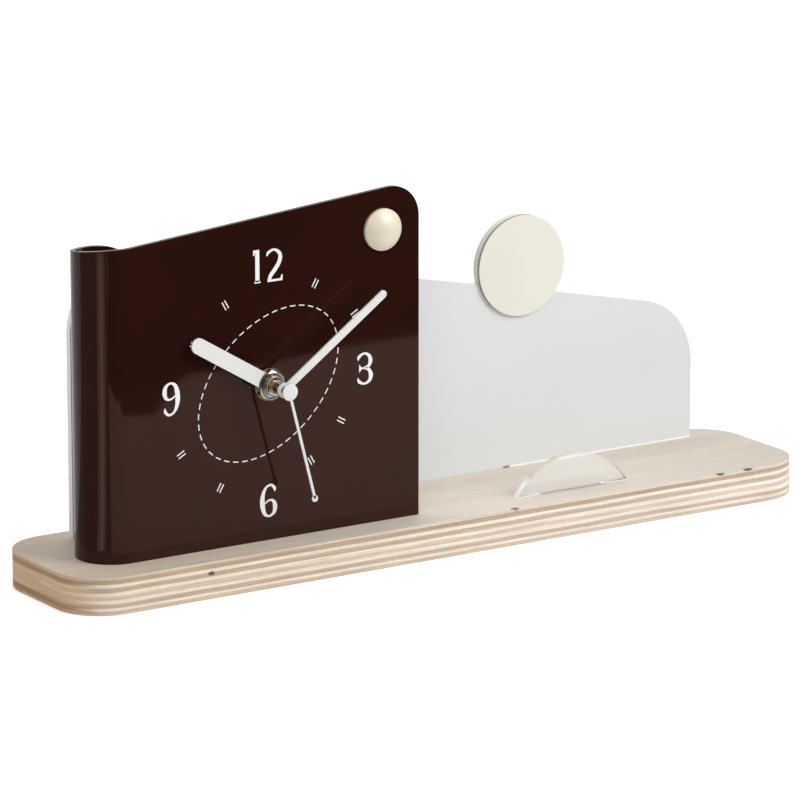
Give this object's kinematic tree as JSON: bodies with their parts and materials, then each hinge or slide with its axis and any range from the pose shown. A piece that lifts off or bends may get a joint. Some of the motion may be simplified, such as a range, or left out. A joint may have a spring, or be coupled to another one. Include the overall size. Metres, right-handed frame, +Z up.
{
  "type": "desk clock",
  "caption": "Desk clock on a rounded plywood base: folded glossy dial plate with quartz movement and hands, frosted slanting back panel, clear card stop, marker disc, magnet.",
  "frame": {"origin": "centre of the base's underside", "axes": "+X along the base to the right as seen from the dial side, +Y to the back, +Z up"},
  "size_m": [0.35, 0.0711, 0.1513],
  "materials": {
    "birch_plywood": "clear satin lacquer, ply edges bare",
    "brown_enamel": "high gloss",
    "zinc_steel": "zinc plated",
    "frosted_acrylic": "frosted, translucent",
    "cream_satin": "satin",
    "clear_acrylic": "polished",
    "brass": "turned",
    "brass_pipe": "turned",
    "black_rubber": "matte",
    "black_plastic": "fine spark texture",
    "soft_iron": "stamped",
    "nylon": "moulded",
    "copper_wire": "enamelled wire",
    "board_laminate": "resin board",
    "black_resin": "gloss",
    "white_paint": "matte",
    "bright_steel": "turned",
    "rotor_ferrite": "sintered",
    "cell_wrap": "printed wrap, bare of print",
    "magnet_ferrite": "sintered"
  },
  "bodies": {
    "stand": {"base_board": "birch_plywood", "clock_plate": "brown_enamel", "frosted_panel": "frosted_acrylic", "marker_front": "cream_satin", "marker_back": "cream_satin", "card_stop": "clear_acrylic", "threaded_bush": "brass", "dial_washer": "brass", "hex_nut": "brass", "gasket": "black_rubber", "movement_case": "black_plastic", "movement_cover": "black_plastic", "stator": "soft_iron", "coil_core": "soft_iron", "coil_bobbin": "nylon", "coil_winding": "copper_wire", "circuit_board": "board_laminate", "chip": "black_resin", "crystal": "zinc_steel", "contact_left": "zinc_steel", "contact_right": "zinc_steel"},
    "second_hand_train": {"second_wheel": "nylon", "second_hand": "white_paint", "second_hand_collar": "bright_steel", "second_hand_cap": "white_paint"},
    "minute_hand_train": {"minute_wheel": "brass_pipe", "minute_hand": "white_paint", "minute_hand_collar": "bright_steel"},
    "hour_hand_train": {"hour_wheel": "nylon", "hour_hand": "white_paint", "hour_hand_collar": "bright_steel"},
    "third_wheel_body": {"third_wheel": "nylon"},
    "motion_wheel_body": {"motion_wheel": "nylon"},
    "step_wheel_body": {"step_wheel": "nylon"},
    "rotor_body": {"rotor": "rotor_ferrite"},
    "setting_knob_body": {"setting_knob": "black_plastic"},
    "battery": {"battery_cell": "cell_wrap"},
    "button_magnet": {"magnet_cap": "cream_satin", "magnet": "magnet_ferrite"}
  },
  "joints": [
    {"name": "second_hand_spin", "type": "hinge", "parent": "stand", "child": "second_hand_train", "pos_m": [-0.0809, -0.0172, 0.0783], "axis": [0, 1, 0], "continuous": true},
    {"name": "minute_hand_spin", "type": "hinge", "parent": "stand", "child": "minute_hand_train", "pos_m": [-0.0809, -0.0172, 0.0783], "axis": [0, 1, 0], "continuous": true},
    {"name": "hour_hand_spin", "type": "hinge", "parent": "stand", "child": "hour_hand_train", "pos_m": [-0.0809, -0.0172, 0.0783], "axis": [0, 1, 0], "continuous": true},
    {"name": "third_wheel_spin", "type": "hinge", "parent": "stand", "child": "third_wheel_body", "pos_m": [-0.08813, -0.0172, 0.08436], "axis": [0, 1, 0], "continuous": true},
    {"name": "motion_wheel_spin", "type": "hinge", "parent": "stand", "child": "motion_wheel_body", "pos_m": [-0.08932, -0.0172, 0.07523], "axis": [0, 1, 0], "continuous": true},
    {"name": "step_wheel_spin", "type": "hinge", "parent": "stand", "child": "step_wheel_body", "pos_m": [-0.07202, -0.0172, 0.08153], "axis": [0, 1, 0], "continuous": true},
    {"name": "rotor_spin", "type": "hinge", "parent": "stand", "child": "rotor_body", "pos_m": [-0.06525, -0.0172, 0.084], "axis": [0, 1, 0], "continuous": true},
    {"name": "setting_knob_spin", "type": "hinge", "parent": "stand", "child": "setting_knob_body", "pos_m": [-0.09884, -0.0172, 0.07523], "axis": [0, 1, 0], "continuous": true},
    {"name": "battery_lift_out", "type": "slide", "parent": "stand", "child": "battery", "axis": [0, 1, 0], "range_m": [0, 0.022]},
    {"name": "magnet_pull_off", "type": "slide", "parent": "stand", "child": "button_magnet", "axis": [0, -1, 0], "range_m": [0, 0.025]}
  ],
  "couplings": [
    {"joint": "minute_hand_spin", "follows": "second_hand_spin", "ratio": 0.016667},
    {"joint": "hour_hand_spin", "follows": "second_hand_spin", "ratio": 0.0013889},
    {"joint": "third_wheel_spin", "follows": "second_hand_spin", "ratio": -0.13333},
    {"joint": "motion_wheel_spin", "follows": "second_hand_spin", "ratio": -0.0055556},
    {"joint": "step_wheel_spin", "follows": "second_hand_spin", "ratio": -6},
    {"joint": "rotor_spin", "follows": "second_hand_spin", "ratio": 30},
    {"joint": "setting_knob_spin", "follows": "second_hand_spin", "ratio": 0.013333}
  ]
}
